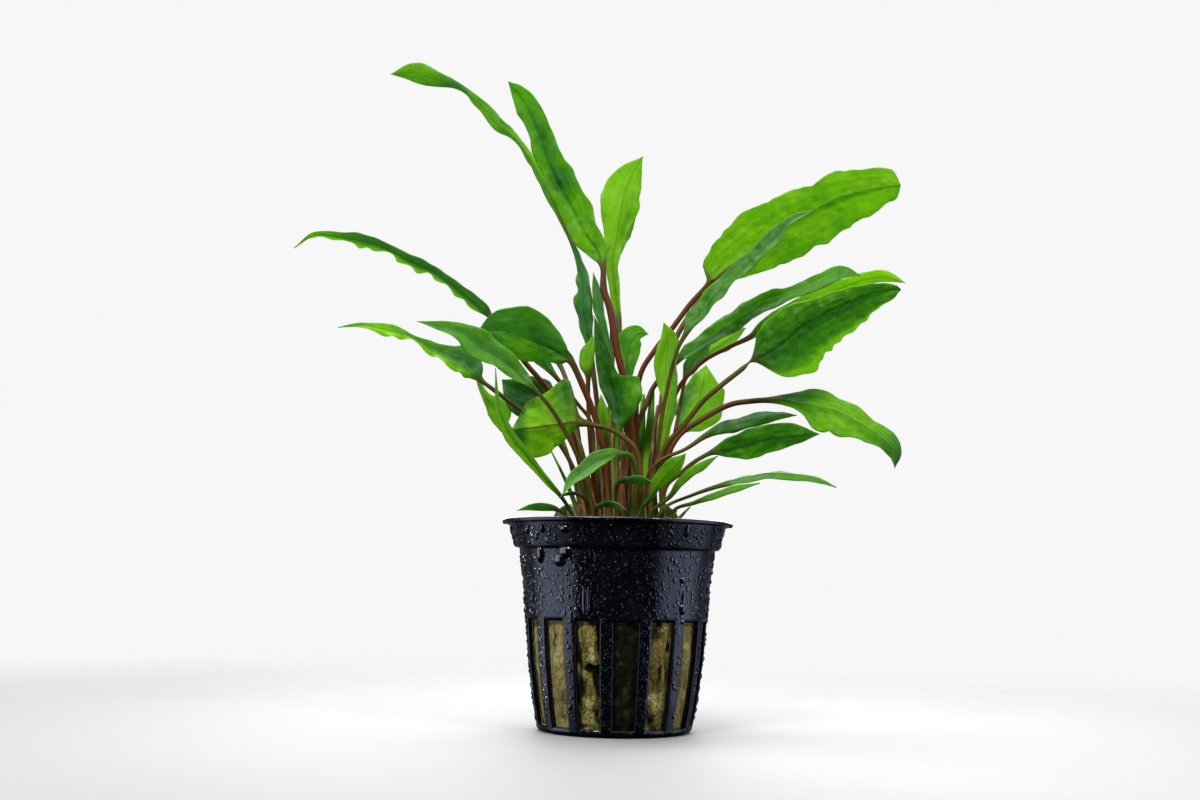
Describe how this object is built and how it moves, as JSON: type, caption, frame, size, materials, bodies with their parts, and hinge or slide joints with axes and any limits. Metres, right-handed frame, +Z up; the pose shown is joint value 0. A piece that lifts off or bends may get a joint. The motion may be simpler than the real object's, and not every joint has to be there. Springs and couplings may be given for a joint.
{
  "type": "potted cryptocoryne",
  "caption": "Young aquarium plant: a dense rosette of slim stalked leaves growing from rock wool in a slotted black plastic net pot.",
  "frame": {"origin": "centre of the pot's flat underside", "axes": "+Z up along the pot's axis, -Y towards the front of the plant, +X to the right as seen from the front"},
  "size_m": [0.1506, 0.0923, 0.1683],
  "materials": {
    "pot": "glossy black, wet with fine droplets",
    "wool": "coarse felted fibre, olive brown and damp",
    "crown": "brown, rough and fibrous",
    "leaf": "smooth waxy green, translucent, with brown stalks and midribs"
  },
  "bodies": {
    "root": {"pot": "pot", "rock_wool": "wool", "crown": "crown", "leaf_left_top": "leaf", "leaf_tall": "leaf", "leaf_back_upright": "leaf", "leaf_back_slim_1": "leaf", "leaf_back_slim_2": "leaf", "leaf_right_top": "leaf", "leaf_right_dark_upper": "leaf", "leaf_right_dark_long": "leaf", "leaf_right_short": "leaf", "leaf_right_grey": "leaf", "leaf_right_large": "leaf", "leaf_right_light": "leaf", "leaf_centre_right": "leaf", "leaf_right_broad_back": "leaf", "leaf_right_arching": "leaf", "leaf_right_low": "leaf", "leaf_right_low_dark": "leaf", "leaf_right_low_slim_1": "leaf", "leaf_right_low_slim_2": "leaf", "leaf_crown_right_slim": "leaf", "leaf_crown_right": "leaf", "leaf_centre_folded": "leaf", "leaf_centre_pointed": "leaf", "leaf_centre_back": "leaf", "leaf_centre_small": "leaf", "leaf_left_broad": "leaf", "leaf_left_pale": "leaf", "leaf_left_long_upper": "leaf", "leaf_left_long_lower": "leaf", "leaf_left_shaded": "leaf", "leaf_front_heart": "leaf", "leaf_left_hanging": "leaf", "leaf_front_left_slim": "leaf", "leaf_front_lance": "leaf", "leaf_front_short_1": "leaf", "leaf_front_short_2": "leaf", "leaf_front_thin": "leaf", "leaf_rim_left": "leaf", "leaf_left_hidden": "leaf", "leaf_back_1": "leaf", "leaf_back_2": "leaf", "leaf_back_3": "leaf", "leaf_back_4": "leaf", "leaf_back_5": "leaf", "leaf_back_6": "leaf", "leaf_back_7": "leaf", "leaf_back_8": "leaf", "leaf_back_9": "leaf"}
  },
  "joints": []
}
